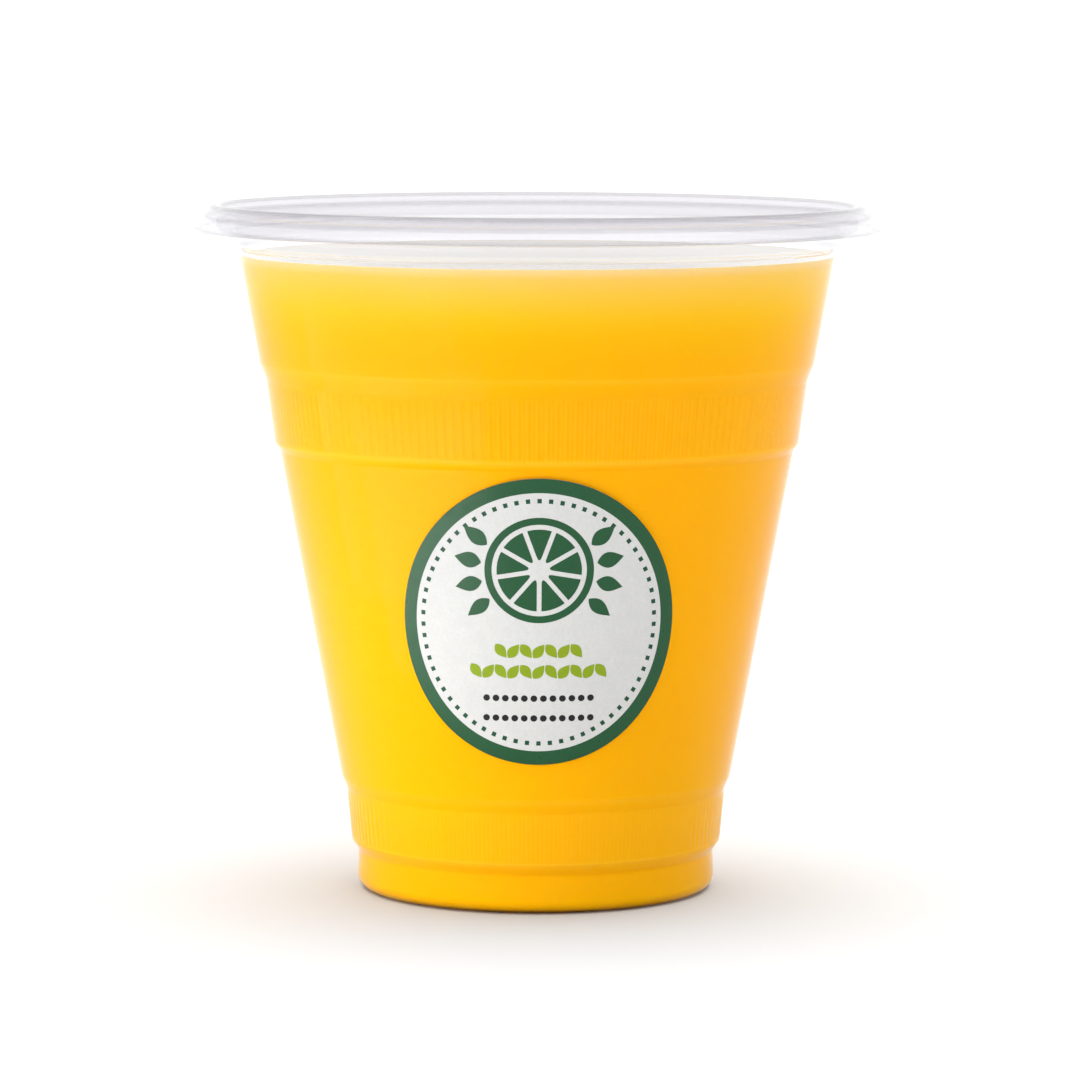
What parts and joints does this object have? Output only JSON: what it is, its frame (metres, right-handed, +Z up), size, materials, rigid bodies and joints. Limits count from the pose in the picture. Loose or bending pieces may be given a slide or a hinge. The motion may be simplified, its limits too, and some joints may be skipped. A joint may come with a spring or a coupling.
{
  "type": "cup of orange juice",
  "caption": "Lidded clear plastic takeaway cup filled with orange juice, with stepped grip bands, a flat press-on lid and a round paper sticker.",
  "frame": {"origin": "middle of the cup's base on the surface it stands on", "axes": "+Z up along the cup's axis, -Y out of the middle of the side with the sticker"},
  "size_m": [0.0989, 0.099, 0.0989],
  "materials": {
    "cup_plastic": "thin clear polypropylene, faintly milky, smooth with fine fluted bands",
    "orange_juice": "opaque yellow-orange juice with a wet glossy surface",
    "lid_plastic": "thin clear plastic, cool grey at grazing angles",
    "sticker_paper": null
  },
  "bodies": {
    "root": {"cup": "cup_plastic", "juice": "orange_juice", "lid": "lid_plastic", "label": "sticker_paper"}
  },
  "joints": []
}
